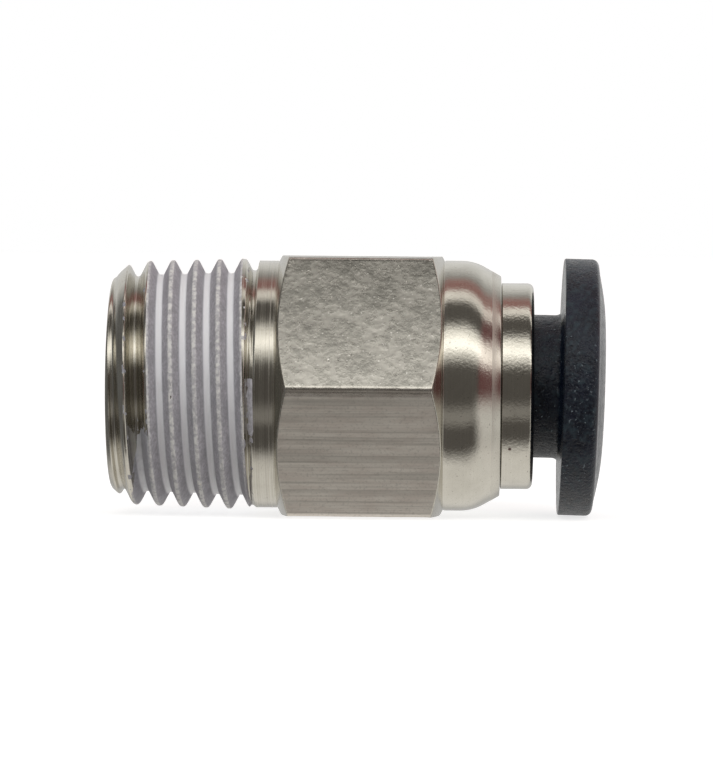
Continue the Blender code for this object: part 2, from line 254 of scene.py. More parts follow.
# The stock that the groove is cut in: height and radius
STOCK = np.array([
    (0, 4.03), (0.02, 4.08), (0.06, 4.13), (0.72, 4.712),
    (5.30, 4.856), (5.42, 4.645), (5.60, 4.785), (5.62, 4.79),
]) * MM
THREAD_STEP = 0.032 * MM
NICK_DEPTH = 0.03 * MM


def thread_radius(angle, height):
    """Radius of the threaded stem: stock with rounded V grooves that run out before the collar."""
    surfaces = [np.interp(height, STOCK[:, 0], STOCK[:, 1]) + 0 * angle]
    root = THREAD_R - THREAD_DEPTH + height * THREAD_TAPER
    slope = 1 / math.tan(FLANK_ANGLE)
    tangent = ROOT_ROUND * math.cos(FLANK_ANGLE)
    for first_turn in range(GROOVE_PASSES):
        turn = first_turn + angle / math.tau
        across = abs(height - GROOVE_START - PITCH * turn)
        lift = RUN_OUT_LIFT * np.maximum(0, turn - RUN_OUT_START) / (GROOVE_TURNS - RUN_OUT_START)
        bottom = ROOT_ROUND - np.sqrt(np.maximum(ROOT_ROUND**2 - across**2, 0))
        flank = ROOT_ROUND * (1 - math.sin(FLANK_ANGLE)) + (across - tangent) * slope
        surfaces.append(root + lift + np.where(across < tangent, bottom, flank))
    return smooth_min(np.array(surfaces), CREST_BLEND)


def thread_rows(angles):
    """Rows of the threaded stem, with small nicks along its crests."""
    rows = []
    for h in spaced(0, THREAD_STOP, THREAD_STEP):
        radius = thread_radius(angles, h)
        points = on_cylinder(radius, angles, np.full_like(angles, h))
        share = (radius - THREAD_R + THREAD_DEPTH - h * THREAD_TAPER) / THREAD_DEPTH
        nicks = np.clip(noise_at(points, 0.22 * MM, 1) - 0.55, 0, 1)
        rows.append((radius - NICK_DEPTH * nicks * smooth_step(share, 0.6, 0.95), h))
    return rows


# ---------------------------------------------------------------- hexagon

def hex_radius(angles):
    """Polar radius of the hexagonal bar: slightly crowned flats that meet in rounded corners."""
    half = ACROSS_FLATS / 2
    sixth, twelfth = math.pi / 3, math.pi / 6
    off = abs(np.mod(angles, sixth) - twelfth)  # angle from the nearest corner
    across = np.tan(twelfth - off) / math.tan(twelfth)
    flat = (half - HEX_CROWN * across**2) / np.cos(twelfth - off)
    centre = (half - 0.92 * HEX_CROWN - HEX_EDGE) / math.cos(twelfth)
    drop = np.maximum(HEX_EDGE**2 - (centre * np.sin(off)) ** 2, 0)
    corner = centre * np.cos(off) + np.sqrt(drop)
    in_corner = off < math.atan2(HEX_EDGE * math.sin(twelfth), centre + HEX_EDGE * math.cos(twelfth))
    return np.where(in_corner, corner, flat)


def hex_rows(angles):
    """Rows of the hexagon: its rising chamfer, its uneven flats and its falling chamfer."""
    bar = hex_radius(angles)
    edge = 0.035 * MM  # width of the rounding between a flat and a chamfer
    pull = 0.006 * MM  # how far the rounding cuts the edge back
    inset = 0.005 * MM  # keeps the bumps of the flats inside the bar's size

    def cone(height, sign, face_r, t):
        radius = face_r + t * (bar - face_r)
        return radius, height + sign * (radius - face_r) * HEX_CHAMFER

    def corner(height, sign, face_r):
        reach = bar - face_r
        near = np.clip(1 - edge / reach, 0.2, 1)
        return cone(height, sign, face_r, near)

    low_r, high_r = HEX_FACE_R, SHOULDER_R + 0.01 * MM
    low_edge = HEX_START + (bar - low_r) * HEX_CHAMFER
    high_edge = HEX_END - (bar - high_r) * HEX_CHAMFER
    rising = [cone(HEX_START, 1, low_r, t) for t in (0, 0.08, 0.3, 0.6)]
    rising += [corner(HEX_START, 1, low_r), (bar - pull, low_edge)]
    falling = [(bar - pull, high_edge), corner(HEX_END, -1, high_r)]
    falling += [cone(HEX_END, -1, high_r, t) for t in (0.6, 0.3, 0.08, 0)]
    flats = []
    for t in np.concatenate([[0], np.linspace(0.02, 0.98, 44), [1]]):
        height = low_edge + edge + t * (high_edge - low_edge - 2 * edge)
        points = on_cylinder(bar, angles, height)
        fine = 0.0022 * MM * noise_at(points, 0.55 * MM, 2)
        broad = 0.0035 * MM * noise_at(points, 1.6 * MM, 3)
        uneven = (fine + broad - inset) * smooth_step(t, 0, 0.03) * smooth_step(1 - t, 0, 0.03)
        flats.append((bar + uneven, height))
    return rising, flats, falling


def make_body(turned_metal, bar_metal, shoulder_metal):
    """The plated body in one piece: stem, collar, hexagon and shoulder outside, bores inside."""
    angles = body_angles()
    thread = thread_rows(angles)
    collar = [(COLLAR_R, h) for h in spaced(THREAD_STOP, COLLAR_STOP, 0.06 * MM)[1:]]
    collar += [(r * MM, h * MM) for r, h in COLLAR_END]
    rising, flats, falling = hex_rows(angles)
    bend_start = HEX_END + SHOULDER_CYLINDER
    bend_r = SHOULDER_R - SHOULDER_BEND
    shoulder = [(r * MM, HEX_END + h * MM) for r, h in SHOULDER_FOOT]
    shoulder += [(SHOULDER_R, h) for h in spaced(HEX_END + 0.09 * MM, bend_start, 0.1 * MM)]
    for a in np.linspace(0, SHOULDER_SLOPE, 12)[1:]:
        shoulder.append((bend_r + SHOULDER_BEND * math.cos(a), bend_start + SHOULDER_BEND * math.sin(a)))
    slope_r, slope_height = shoulder[-1]
    end_r = slope_r - (BODY_END - slope_height) * math.tan(SHOULDER_SLOPE)
    inside = rounded([
        (slope_r, slope_height, 0),
        (end_r, BODY_END, 0.06 * MM),
        (CAVITY_R + EDGE_BREAK, BODY_END, 0.02 * MM),
        (CAVITY_R, BODY_END - EDGE_BREAK, 0.02 * MM),
        (CAVITY_R, SEAL_SEAT, 0.05 * MM),
        (TUBE_BORE_R + EDGE_BREAK, SEAL_SEAT, 0.02 * MM),
        (TUBE_BORE_R, SEAL_SEAT - EDGE_BREAK, 0.02 * MM),
        (TUBE_BORE_R, TUBE_STOP, 0.04 * MM),
        (BORE_R, TUBE_STOP, 0.04 * MM),
        (BORE_R, EDGE_BREAK, 0.02 * MM),
        (BORE_R + EDGE_BREAK, 0, 0.02 * MM),
        (FACE_R, 0, 0),
    ], closed=False)[1:]
    rows = thread + collar + rising + flats + falling + shoulder + inside
    slots = np.zeros(len(rows), int)
    first_flat = len(thread) + len(collar) + len(rising)
    slots[first_flat:first_flat + len(flats) - 1] = 1
    first_shoulder = first_flat + len(flats) + len(falling)
    slots[first_shoulder:first_shoulder + len(shoulder)] = 2
    mesh = ring_stack("threaded_body", rows, angles, slots)
    piece = add_piece("threaded_body", mesh, turned_metal, bar_metal, shoulder_metal)
    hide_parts("body")
    return piece


# ---------------------------------------------------------------- sealant

# Places along the groove are in turns, and places across it in pitches from its bottom
SEALANT_FIRST, SEALANT_LAST = 1.6, 6.9  # the mesh
SEALANT_START, SEALANT_END = 1.79, 6.2  # the film that shows
SEALANT_FEATHER = 0.20  # turns over which the film grows to its full thickness
SEALANT_LEFT = -0.10  # at its start the film covers only one side of the groove
SEALANT_SPREAD = 0.6  # then its left edge moves out, beyond the crest
PATCH_START, PATCH_END = 6.735, 6.80  # a patch by itself, in the run-out
PATCH_SIDE = -0.17
STEPS_PER_TURN, STEPS_ACROSS = 200, 32
FILM = 0.020 * MM
FILM_UNDER = 0.008 * MM  # how deep the film's mesh lies in the metal where no film shows
VALLEY_FILL = 0.045 * MM
VALLEY_BLEND = 0.012 * MM  # rounding between the pooled sealant and the film on the flanks


def make_sealant(material):
    """Dried sealant: a film on the thread's flanks, pooled in its valleys and rubbed at its crests."""
    steps_along = round((SEALANT_LAST - SEALANT_FIRST) * STEPS_PER_TURN)
    turns = np.linspace(SEALANT_FIRST, SEALANT_LAST, steps_along)
    across = np.linspace(-0.5, 0.5, STEPS_ACROSS)
    turn, side = np.meshgrid(turns, across, indexing="ij")
    angle = math.tau * turn
    height = GROOVE_START + PITCH * (turn + side)
    metal = thread_radius(np.mod(angle, math.tau), height)
    points = on_cylinder(metal, angle, height)
    broad, fine = noise_at(points, 0.9 * MM, 4), noise_at(points, 0.16 * MM, 5)
    start = SEALANT_START + 0.02 * broad + 0.02 * fine
    grown = smooth_step(turn, start, start + SEALANT_FEATHER)
    film = FILM * (0.45 + 0.55 * grown) + 0.006 * MM * broad + 0.003 * MM * fine
    root = THREAD_R - THREAD_DEPTH + height * THREAD_TAPER
    valley = root + VALLEY_FILL * grown + 0.008 * MM * broad
    film = -smooth_min(np.array([-(metal + film), -valley]), VALLEY_BLEND) - metal
    crest = smooth_step(abs(side), 0.40, 0.47)
    rubbed = smooth_step(noise_at(points, 0.13 * MM, 6) + 0.5 * broad, 1.25, 1.45) * crest
    end = SEALANT_END + 0.12 * broad
    cover = smooth_step(turn, start - 0.02, start + 0.06) * (1 - smooth_step(turn, end - 0.02, end + 0.01))
    spread = SEALANT_SPREAD * smooth_step(turn, start + 0.04, start + SEALANT_FEATHER)
    left_edge = SEALANT_LEFT - spread
    cover = cover * smooth_step(side + 0.03 * fine, left_edge, left_edge + 0.14)
    patch = smooth_step(turn, PATCH_START, PATCH_START + 0.01)
    patch = patch * (1 - smooth_step(turn, PATCH_END, PATCH_END + 0.02))
    patch = patch * (1 - smooth_step(abs(side - PATCH_SIDE + 0.04 * fine), 0.13, 0.18))
    cover = np.maximum(cover, patch) * (1 - rubbed) * (1 - 0.4 * smooth_step(abs(side), 0.46, 0.5))
    outer = metal + (film + FILM_UNDER) * cover - FILM_UNDER
    inner = metal - 1.6 * FILM_UNDER

    mesh = bpy.data.meshes.new("sealant_film")
    corners = np.concatenate([on_cylinder(outer, angle, height), on_cylinder(inner, angle, height)])
    corners[..., 0] += START
    index = np.arange(2 * steps_along * STEPS_ACROSS).reshape(2, steps_along, STEPS_ACROSS)
    faces = []

    def strip(a, b):
        faces.append(np.stack([a[:-1], b[:-1], b[1:], a[1:]], axis=-1).reshape(-1, 4))

    for k in range(STEPS_ACROSS - 1):
        strip(index[0, :, k + 1], index[0, :, k])
        strip(index[1, :, k], index[1, :, k + 1])
    strip(index[0, :, 0], index[1, :, 0])
    strip(index[1, :, -1], index[0, :, -1])
    strip(index[1, 0], index[0, 0])
    strip(index[0, -1], index[1, -1])
    mesh.from_pydata(corners.reshape(-1, 3), [], np.concatenate(faces).tolist())
    mesh.shade_smooth()
    mesh.set_sharp_from_angle(angle=math.radians(60))
    thinness = np.tile((1 - grown) * (1 - patch), (2, 1, 1))
    thin = mesh.attributes.new("thin", "FLOAT", "POINT")
    thin.data.foreach_set("value", thinness.ravel().astype(np.float32))
    piece = add_piece("sealant_film", mesh, material)
    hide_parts("thread_sealant")
    return piece


# ---------------------------------------------------------------- turned pieces

def make_guide_ring(material):
    """The ring in the body's mouth: a stepped bore, and a rim that stands proud of the body."""
    bore_r = NECK_R + 0.09 * MM
    recess_r = 3.12 * MM
    inner_r = CAVITY_R - 0.02 * MM
    rim_start = BODY_END + 0.03 * MM
    outline = [
        (inner_r, GUIDE, 0.1 * MM),
        (inner_r, rim_start, 0),
        (GUIDE_R, rim_start, 0.03 * MM),
        (GUIDE_R, GUIDE_END, 0.23 * MM),
        (bore_r, GUIDE_END, 0.12 * MM),
        (bore_r, GUIDE_STEP, 0.03 * MM),
        (recess_r, GUIDE_STEP, 0.03 * MM),
        (recess_r, GUIDE, 0.03 * MM),
    ]
    piece = turned("guide_ring_turned", outline, material)
    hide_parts("guide_ring")
    return piece


def make_seal(material):
    """The lip seal that lies on the tube."""
    outline = [
        (SEAL_HIGH.z, SEAL_LOW.x - START, 0.05 * MM),
        (SEAL_HIGH.z, SEAL_HIGH.x - START, 0.08 * MM),
        (2.22 * MM, SEAL_HIGH.x - START, 0.08 * MM),
        (2.22 * MM, 10.35 * MM, 0.15 * MM),
        (1.93 * MM, 9.81 * MM, 0.06 * MM),
        (1.96 * MM, 9.61 * MM, 0.06 * MM),
        (2.34 * MM, 9.39 * MM, 0.05 * MM),
        (2.64 * MM, 10.05 * MM, 0.08 * MM),
        (2.82 * MM, 10.05 * MM, 0.08 * MM),
        (3.02 * MM, SEAL_LOW.x - START, 0.05 * MM),
    ]
    piece = turned("seal_moulded", outline, material)
    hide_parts("tube_seal")
    return piece


def make_back_ring(material):
    """The dished spacer between the seal and the claw."""
    low, high = BACK_LOW.x - START, BACK_HIGH.x - START
    floor = low + 0.53 * MM
    outline = [
        (BACK_HIGH.z, low, 0.06 * MM),
        (BACK_HIGH.z, high, 0.04 * MM),
        (3.20 * MM, high, 0.04 * MM),
        (2.55 * MM, floor, 0.05 * MM),
        (2.12 * MM, floor, 0.04 * MM),
        (2.12 * MM, low, 0.06 * MM),
    ]
    piece = turned("back_ring_turned", outline, material)
    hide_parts("seal_back_ring")
    return piece


def make_sleeve(material):
    """Release sleeve: slotted nose and lip inside, slim neck, and a domed flange for the fingers."""
    bore_r = 2.05 * MM
    lip_end = GUIDE_STEP - 0.04 * MM
    mouth_r = 2.42 * MM
    dome_steps = 8
    dome_r = FLANGE_R - 0.20 * MM
    lip_r = 3.04 * MM
    nose_r = 2.60 * MM
    outline = [
        (2.25 * MM, NOSE, 0.05 * MM),
        (nose_r, NOSE + 0.75 * MM, 0.15 * MM),
        (nose_r, lip_end - 0.85 * MM, 0.15 * MM),
        (lip_r, lip_end - 0.28 * MM, 0.06 * MM),
        (lip_r, lip_end, 0.04 * MM),
        (NECK_R, lip_end, 0.04 * MM),
        (NECK_R, FLANGE_BACK, NECK_FILLET),
        (FLANGE_R, FLANGE_BACK, 0.06 * MM),
        (FLANGE_R, FLANGE_RIM, 0.31 * MM),
    ]
    for i in range(1, dome_steps):
        t = i / dome_steps
        rise = (SLEEVE_END - FLANGE_RIM) * math.sin(t * math.pi / 2)
        outline.append((dome_r + (mouth_r - dome_r) * t, FLANGE_RIM + rise, 0.4 * MM))
    outline += [
        (mouth_r, SLEEVE_END, 0.12 * MM),
        (bore_r, SLEEVE_END - 0.40 * MM, 0.2 * MM),
        (bore_r, NOSE, 0.05 * MM),
    ]
    piece = turned("release_sleeve_moulded", outline, material)
    slot_end = lip_end + 0.3 * MM
    slot_width, slot_height, slot_middle = 0.45 * MM, 2.0 * MM, 2.85 * MM
    slot_over = 0.5 * MM  # how far the cut starts before the nose
    for i in range(4):
        bpy.ops.mesh.primitive_cube_add(size=1)
        slot = bpy.context.active_object
        slot.data.transform(Matrix.Diagonal((slot_end - NOSE + slot_over, slot_width, slot_height, 1)))
        slot.data.transform(Matrix.Translation(((slot_end + NOSE - slot_over) / 2, 0, slot_middle)))
        slot.data.transform(Matrix.Rotation(math.pi / 4 + i * math.pi / 2, 4, "X"))
        slot.data.transform(Matrix.Translation((START, 0, 0)))
        cut = piece.modifiers.new("slot", "BOOLEAN")
        cut.object = slot
        cut.solver = "EXACT"
        apply_modifiers(piece)
        bpy.data.objects.remove(slot)
    split = piece.modifiers.new("split", "TRIANGULATE")
    split.min_vertices = 5
    split.ngon_method = "BEAUTY"
    apply_modifiers(piece)
    piece.data.set_sharp_from_angle(angle=math.radians(38))
    pivot = Vector((START + (FLANGE + FLANGE_RIM) / 2, 0, 0))
    hang = Matrix.Translation(pivot - Vector((0, 0, SLEEVE_DROP))) @ Matrix.Rotation(SLEEVE_TILT, 4, "Y")
    askew = hang @ Matrix.Translation(-pivot)
    for vertex in piece.data.vertices:
        share = smooth_step(vertex.co.x - START, GUIDE_STEP, FLANGE_BACK - NECK_FILLET)
        vertex.co = vertex.co.lerp(askew @ vertex.co, float(share))
    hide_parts("release_sleeve")
    return piece


def apply_modifiers(piece):
    """Turn a piece's modifiers into its mesh."""
    bpy.context.view_layer.update()
    evaluated = piece.evaluated_get(bpy.context.evaluated_depsgraph_get())
    piece.data = bpy.data.meshes.new_from_object(evaluated)
    piece.modifiers.clear()


def dress_claw(material):
    """The claw keeps its CAD shape, with the sheet's edges rounded as tumbled parts have them."""
    for name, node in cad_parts.items():
        if not name.startswith("claw_"):
            continue
        node.data.materials.clear()
        node.data.materials.append(material)
        bevel = node.modifiers.new("tumbled_edges", "BEVEL")
        bevel.width = 0.025 * MM
        bevel.segments = 2
        bevel.limit_method = "ANGLE"
        bevel.angle_limit = math.radians(40)


# ---------------------------------------------------------------- materials

class Nodes:
    """A node tree under construction: nodes are added with their inputs given by name or index."""

    def __init__(self, tree):
        self.tree = tree

    def put(self, socket, value):
        if isinstance(value, bpy.types.NodeSocket):
            self.tree.links.new(value, socket)
        else:
            socket.default_value = value

    def node(self, kind, inputs=None, output=0, **settings):
        made = self.tree.nodes.new("ShaderNode" + kind)
        for key, value in settings.items():
            setattr(made, key, value)
        for key, value in (inputs or {}).items():
            self.put(made.inputs[key], value)
        return made.outputs[output]

    def split(self, vector):
        """The three components of a vector."""
        parts = self.tree.nodes.new("ShaderNodeSeparateXYZ")
        self.put(parts.inputs[0], vector)
        return parts.outputs

    def ramp(self, value, low, high, start=0.0, end=1.0):
        """From start to end, smoothly, while the value goes from low to high."""
        inputs = {"Value": value, "From Min": low, "From Max": high, "To Min": start, "To Max": end}
        return self.node("MapRange", inputs, interpolation_type="SMOOTHSTEP")

    def math(self, operation, a, b=0.0):
        return self.node("Math", {0: a, 1: b}, operation=operation)

    def mix(self, share, a, b):
        """Colour a where the share is 0, and b where it is 1."""
        made = self.tree.nodes.new("ShaderNodeMix")
        made.data_type = "RGBA"
        self.put(made.inputs["Factor"], share)
        self.put(made.inputs["A"], a)
        self.put(made.inputs["B"], b)
        return made.outputs["Result"]


class Shade(Nodes):
    """A material under construction, textured in object coordinates."""

    def __init__(self, name):
        self.material = bpy.data.materials.new(name)
        self.material.use_nodes = True
        super().__init__(self.material.node_tree)
        self.shader = self.tree.nodes["Principled BSDF"]
        self.coords = self.tree.nodes.new("ShaderNodeTexCoord").outputs["Object"]

    def surface(self, **values):
        for key, value in values.items():
            self.put(self.shader.inputs[key.replace("_", " ")], value)

    def noise(self, size, detail=2.0, roughness=0.5, stretch=(1, 1, 1)):
        """Smooth noise whose features are about this size in metres, times the stretch of each axis."""
        scale = tuple(1 / (size * s) for s in stretch)
        vector = self.node("Mapping", {"Vector": self.coords, "Scale": scale})
        inputs = {"Vector": vector, "Scale": 1.0, "Detail": detail, "Roughness": roughness}
        return self.node("TexNoise", inputs)

    def axis_radius(self):
        """Distance from the fitting's axis, and the position along it."""
        x, y, z = self.split(self.coords)
        square = self.math("ADD", self.math("POWER", y, 2.0), self.math("POWER", z, 2.0))
        return self.math("SQRT", square), x

    def bump(self, height, distance, normal=None):
        inputs = {"Height": height, "Distance": distance, "Strength": 1.0}
        if normal is not None:
            inputs["Normal"] = normal
        return self.node("Bump", inputs)


def color(r, g, b):
    return (r, g, b, 1.0)


# A small dimple in the guide ring, with no dent in the mesh: shown as painted shade, a dark reddish spot.
PIT_R = 0.085 * MM
PIT_HEIGHT = 0.35 * MM  # beyond the body's end
PIT_ANGLE = math.radians(-55)


def turned_nickel(name, peel, lines, streaks, pit=None):
    """Bright nickel plate over turned brass: turning lines with painted shade, streaked gloss, orange peel,
    stains, a pit as painted shade.
    """
    shade = Shade(name)
    radius, along = shade.axis_radius()
    path = shade.math("ADD", along, shade.math("MULTIPLY", radius, 1.7))
    line_coords = shade.node("CombineXYZ", {0: shade.math("MULTIPLY", path, 1 / (0.07 * MM))})
    rings = shade.node("TexNoise", {"Vector": line_coords, "Scale": 1.0, "Detail": 3.0})
    peel_noise = shade.noise(0.11 * MM, 2.0, 0.55)
    stains = shade.noise(1.3 * MM, 3.0, 0.6)
    tone = shade.mix(shade.ramp(stains, 0.35, 0.7), color(0.67, 0.645, 0.575), color(0.60, 0.575, 0.51))
    # Painted shade along the turning lines: darker colour where their highlight breaks up; the lines' bump
    # is real.
    lined = shade.math("MULTIPLY", shade.ramp(rings, 0.38, 0.66, 1.0, 0.0), streaks)
    tone = shade.mix(lined, tone, color(0.34, 0.32, 0.28))
    specks = shade.ramp(shade.noise(0.07 * MM, 1.0), 0.66, 0.76)
    tone = shade.mix(shade.math("MULTIPLY", specks, 0.55), tone, color(0.30, 0.28, 0.25))
    # Painted shade of the dimple: a dark reddish spot round the pit's place.
    if pit is not None:
        reach = shade.node("VectorMath", {0: shade.coords, 1: pit}, output=1, operation="DISTANCE")
        tone = shade.mix(shade.ramp(reach, 0.5 * PIT_R, PIT_R, 0.9, 0.0), tone, color(0.06, 0.02, 0.02))
    rough = shade.ramp(stains, 0.3, 0.75, 0.12, 0.17)
    rough = shade.math("ADD", rough, shade.math("MULTIPLY", shade.ramp(rings, 0.45, 0.7), 0.5 * streaks))
    normal = shade.bump(peel_noise, peel)
    normal = shade.bump(rings, lines, normal)
    shade.surface(Base_Color=tone, Metallic=1.0, Roughness=rough, Normal=normal)
    return shade.material


def bar_nickel():
    """Nickel plate over the hex bar: upper flats tumbled, with painted shade and glints; lower flats drawn,
    with painted light.
    """
    shade = Shade("nickel_hex_bar")
    up = shade.split(shade.coords)[2]
    # Mask of the top flats by height: it carries their tumbled finish and their painted shade.
    tumbled = shade.ramp(up, -0.1 * MM, 0.2 * MM)
    drawn_flat = shade.ramp(up, -0.22 * MM, -0.34 * MM)
    blotches = shade.noise(0.26 * MM, 2.0, 0.55)
    broad = shade.noise(1.1 * MM, 3.0, 0.6)
    grain = shade.noise(0.10 * MM, 3.0, 0.6)
    drawn = shade.noise(0.085 * MM, 3.0, 0.6, stretch=(90, 1, 1))
    bands = shade.noise(0.34 * MM, 2.0, 0.6, stretch=(60, 1, 1))
    stains = shade.noise(0.32 * MM, 3.0, 0.6, stretch=(5, 1, 1))
    painted_glints = shade.noise(0.11 * MM, 1.0)
    cloud = shade.math("ADD", shade.math("MULTIPLY", broad, 0.5), shade.math("MULTIPLY", blotches, 0.5))
    # Painted shade and painted light: the top flats get a darker tone, the bottom flats a lighter one.
    upper = shade.mix(shade.ramp(cloud, 0.34, 0.66), color(0.62, 0.60, 0.55), color(0.44, 0.43, 0.39))
    # Painted glints: small near-white specks on the top flats.
    upper = shade.mix(shade.ramp(painted_glints, 0.68, 0.76, 0.0, 0.8), upper, color(0.93, 0.91, 0.86))
    lower = shade.mix(shade.ramp(stains, 0.38, 0.66), color(0.79, 0.745, 0.68), color(0.71, 0.65, 0.59))
    tone = shade.mix(tumbled, lower, upper)
    pepper = shade.ramp(grain, 0.50, 0.70, 0.0, 0.35)
    tone = shade.mix(pepper, tone, color(0.40, 0.385, 0.35))
    narrow = shade.ramp(drawn, 0.48, 0.70, 0.0, 0.32)
    wide = shade.ramp(bands, 0.48, 0.64, 0.0, 0.32)
    lined = shade.math("MULTIPLY", shade.math("ADD", narrow, wide), shade.ramp(tumbled, 0, 1, 1.0, 0.12))
    tone = shade.mix(lined, tone, color(0.38, 0.365, 0.33))
    dents = shade.ramp(shade.noise(0.13 * MM, 1.0), 0.66, 0.76)
    rough = shade.ramp(cloud, 0.32, 0.68, 0.30, 0.24)
    rough = shade.math("ADD", rough, shade.math("MULTIPLY", drawn_flat, 0.17))
    height = shade.math("ADD", blotches, shade.math("MULTIPLY", grain, 0.27))
    height = shade.math("SUBTRACT", height, shade.math("MULTIPLY", dents, 0.6))
    height = shade.math("MULTIPLY", height, shade.ramp(tumbled, 0, 1, 0.2, 1.0))
    normal = shade.bump(height, 0.0105 * MM)
    scratches = shade.math("MULTIPLY", drawn, shade.ramp(tumbled, 0, 1, 1.0, 0.2))
    normal = shade.bump(scratches, 0.003 * MM, normal)
    shade.surface(Base_Color=tone, Metallic=1.0, Roughness=rough, Normal=normal)
    return shade.material


def sealant_material():
    """Chalky grey-lilac sealant: white where it is thick, in the valleys, and rubbed pale at the crests."""
    shade = Shade("thread_sealant_dry")
    radius, along = shade.axis_radius()
    height = shade.math("SUBTRACT", along, START)
    root = shade.math("ADD", shade.math("MULTIPLY", height, THREAD_TAPER), THREAD_R - THREAD_DEPTH)
    share = shade.math("DIVIDE", shade.math("SUBTRACT", radius, root), THREAD_DEPTH)
    mottle = shade.noise(0.12 * MM, 3.0, 0.6)
    share = shade.math("ADD", share, shade.math("MULTIPLY", shade.math("SUBTRACT", mottle, 0.5), 0.10))
    valley = shade.ramp(share, 0.09, 0.29, 1.0, 0.0)
    worn = shade.ramp(shade.noise(0.20 * MM, 3.0, 0.6), 0.40, 0.62, 0.25, 1.0)
    crest = shade.math("MULTIPLY", shade.ramp(share, 0.93, 1.0), worn)
    thin = shade.mix(shade.ramp(mottle, 0.3, 0.7), color(0.36, 0.35, 0.38), color(0.56, 0.55, 0.59))
    cloud = shade.ramp(shade.noise(0.7 * MM, 3.0, 0.6), 0.42, 0.66, 0.0, 0.4)
    thin = shade.mix(cloud, thin, color(0.30, 0.295, 0.325))
    tone = shade.mix(valley, thin, color(0.95, 0.955, 0.98))
    tone = shade.mix(crest, tone, color(0.76, 0.755, 0.74))
    feathered = shade.node("Attribute", output=2, attribute_name="thin")
    tone = shade.mix(shade.math("MULTIPLY", feathered, 0.55), tone, color(0.27, 0.28, 0.32))
    rough = shade.ramp(mottle, 0.3, 0.7, 0.55, 0.75)
    shade.surface(Base_Color=tone, Roughness=rough, IOR=1.48, Normal=shade.bump(mottle, 0.0018 * MM))
    return shade.material


def acetal_material():
    """Black acetal with a fine moulded grain and light dust specks."""
    shade = Shade("acetal_black")
    grain = shade.noise(0.11 * MM, 3.0, 0.65)
    cloud = shade.noise(1.1 * MM, 3.0, 0.6)
    tone = shade.mix(shade.ramp(cloud, 0.35, 0.7), color(0.002, 0.004, 0.011), color(0.009, 0.013, 0.027))
    tone = shade.mix(shade.ramp(grain, 0.52, 0.72), tone, color(0.022, 0.030, 0.042))
    facing = shade.split(shade.node("NewGeometry", output=1))[0]
    end_face = shade.ramp(shade.math("ABSOLUTE", facing), 0.5, 0.8)
    handled = shade.ramp(end_face, 0, 1, 1.0, 0.25)
    waves = shade.noise(0.26 * MM, 3.0, 0.6)
    worn = shade.math("MULTIPLY", shade.ramp(waves, 0.46, 0.68), handled)
    tone = shade.mix(worn, tone, color(0.020, 0.034, 0.046))
    patches = shade.ramp(shade.noise(1.6 * MM, 2.0), 0.40, 0.62)
    dust = shade.ramp(shade.noise(0.10 * MM, 1.0), 0.65, 0.75)
    dust = shade.math("MULTIPLY", shade.math("MULTIPLY", dust, patches), handled)
    tone = shade.mix(dust, tone, color(0.17, 0.21, 0.24))
    rough = shade.ramp(waves, 0.35, 0.68, 0.25, 0.40)
    rough = shade.math("SUBTRACT", rough, shade.math("MULTIPLY", end_face, 0.12))
    height = shade.math("ADD", shade.math("ADD", grain, waves), shade.math("MULTIPLY", dust, 0.5))
    height = shade.math("MULTIPLY", height, shade.ramp(end_face, 0, 1, 1.0, 0.05))
    shade.surface(Base_Color=tone, Roughness=rough, IOR=1.46, Normal=shade.bump(height, 0.045 * MM))
    return shade.material


def rubber_material():
    """Dull black rubber with a fine grain."""
    shade = Shade("nitrile_rubber_black")
    grain = shade.noise(0.05 * MM, 2.0, 0.6)
    cloud = shade.noise(0.7 * MM, 3.0, 0.6)
    tone = shade.mix(cloud, color(0.012, 0.012, 0.013), color(0.026, 0.026, 0.028))
    rough = shade.ramp(grain, 0.3, 0.7, 0.55, 0.72)
    shade.surface(Base_Color=tone, Roughness=rough, Normal=shade.bump(grain, 0.006 * MM))
    return shade.material


def steel_material():
    """Stamped spring steel with rolled grain and tempered tint."""
    shade = Shade("spring_steel_stamped")
    grain = shade.noise(0.03 * MM, 2.0, 0.6, stretch=(1, 8, 1))
    cloud = shade.noise(0.5 * MM, 3.0, 0.6)
    tone = shade.mix(cloud, color(0.50, 0.50, 0.49), color(0.62, 0.60, 0.56))
    rough = shade.ramp(cloud, 0.3, 0.7, 0.22, 0.34)
    shade.surface(Base_Color=tone, Metallic=1.0, Roughness=rough, Normal=shade.bump(grain, 0.002 * MM))
    return shade.material


# ---------------------------------------------------------------- studio

FLOOR_SIZE, FLOOR_GAP = 8, 0.06 * MM
LIGHT_ELEVATION = 40  # degrees
LIGHT_DISTANCE = 0.7
SOFTBOX = (1.6, 0.12, 0.35)  # width, depth and radiance
FILL = (1.6, 0.6, 0.92)

# Soft lights round the fitting's axis. Angles are in degrees round X: 0 towards the camera, 90 up,
# 180 away and 270 down. Each glow rises over (start, full) and fades over (fade, end).
GLOWS = [
    ("front_softbox", (18, 41), (45, 66), 1.42, (1.0, 0.985, 0.94)),
    ("overhead_strip", (82, 92), (96, 104), 0.95, (1.0, 0.97, 0.93)),
    ("room_red", (96, 104), (110, 124), 0.22, (1.0, 0.30, 0.28)),
    ("backdrop", (104, 148), (156, 190), 0.74, (0.99, 1.0, 1.0)),
    ("backdrop_foot", (156, 190), (196, 222), 0.44, (0.99, 1.0, 1.0)),
    ("table", (200, 222), (280, 303), 0.70, (1.0, 0.985, 0.95)),
    ("low_front", (320, 330), (334, 348), 0.18, (1.0, 0.97, 0.92)),
]
ROOM_LEVEL = 0.10
ROOM_COLOR = (1.0, 0.93, 0.86)
ROOM_RIGHT = (0.15, 0.065, 0.065, 1)  # something dark red stands to the right
TABLE_RIGHT = 0.72  # the table shows bright again far to the right of the fitting
TABLE_COLOR = (1.0, 0.985, 0.95)
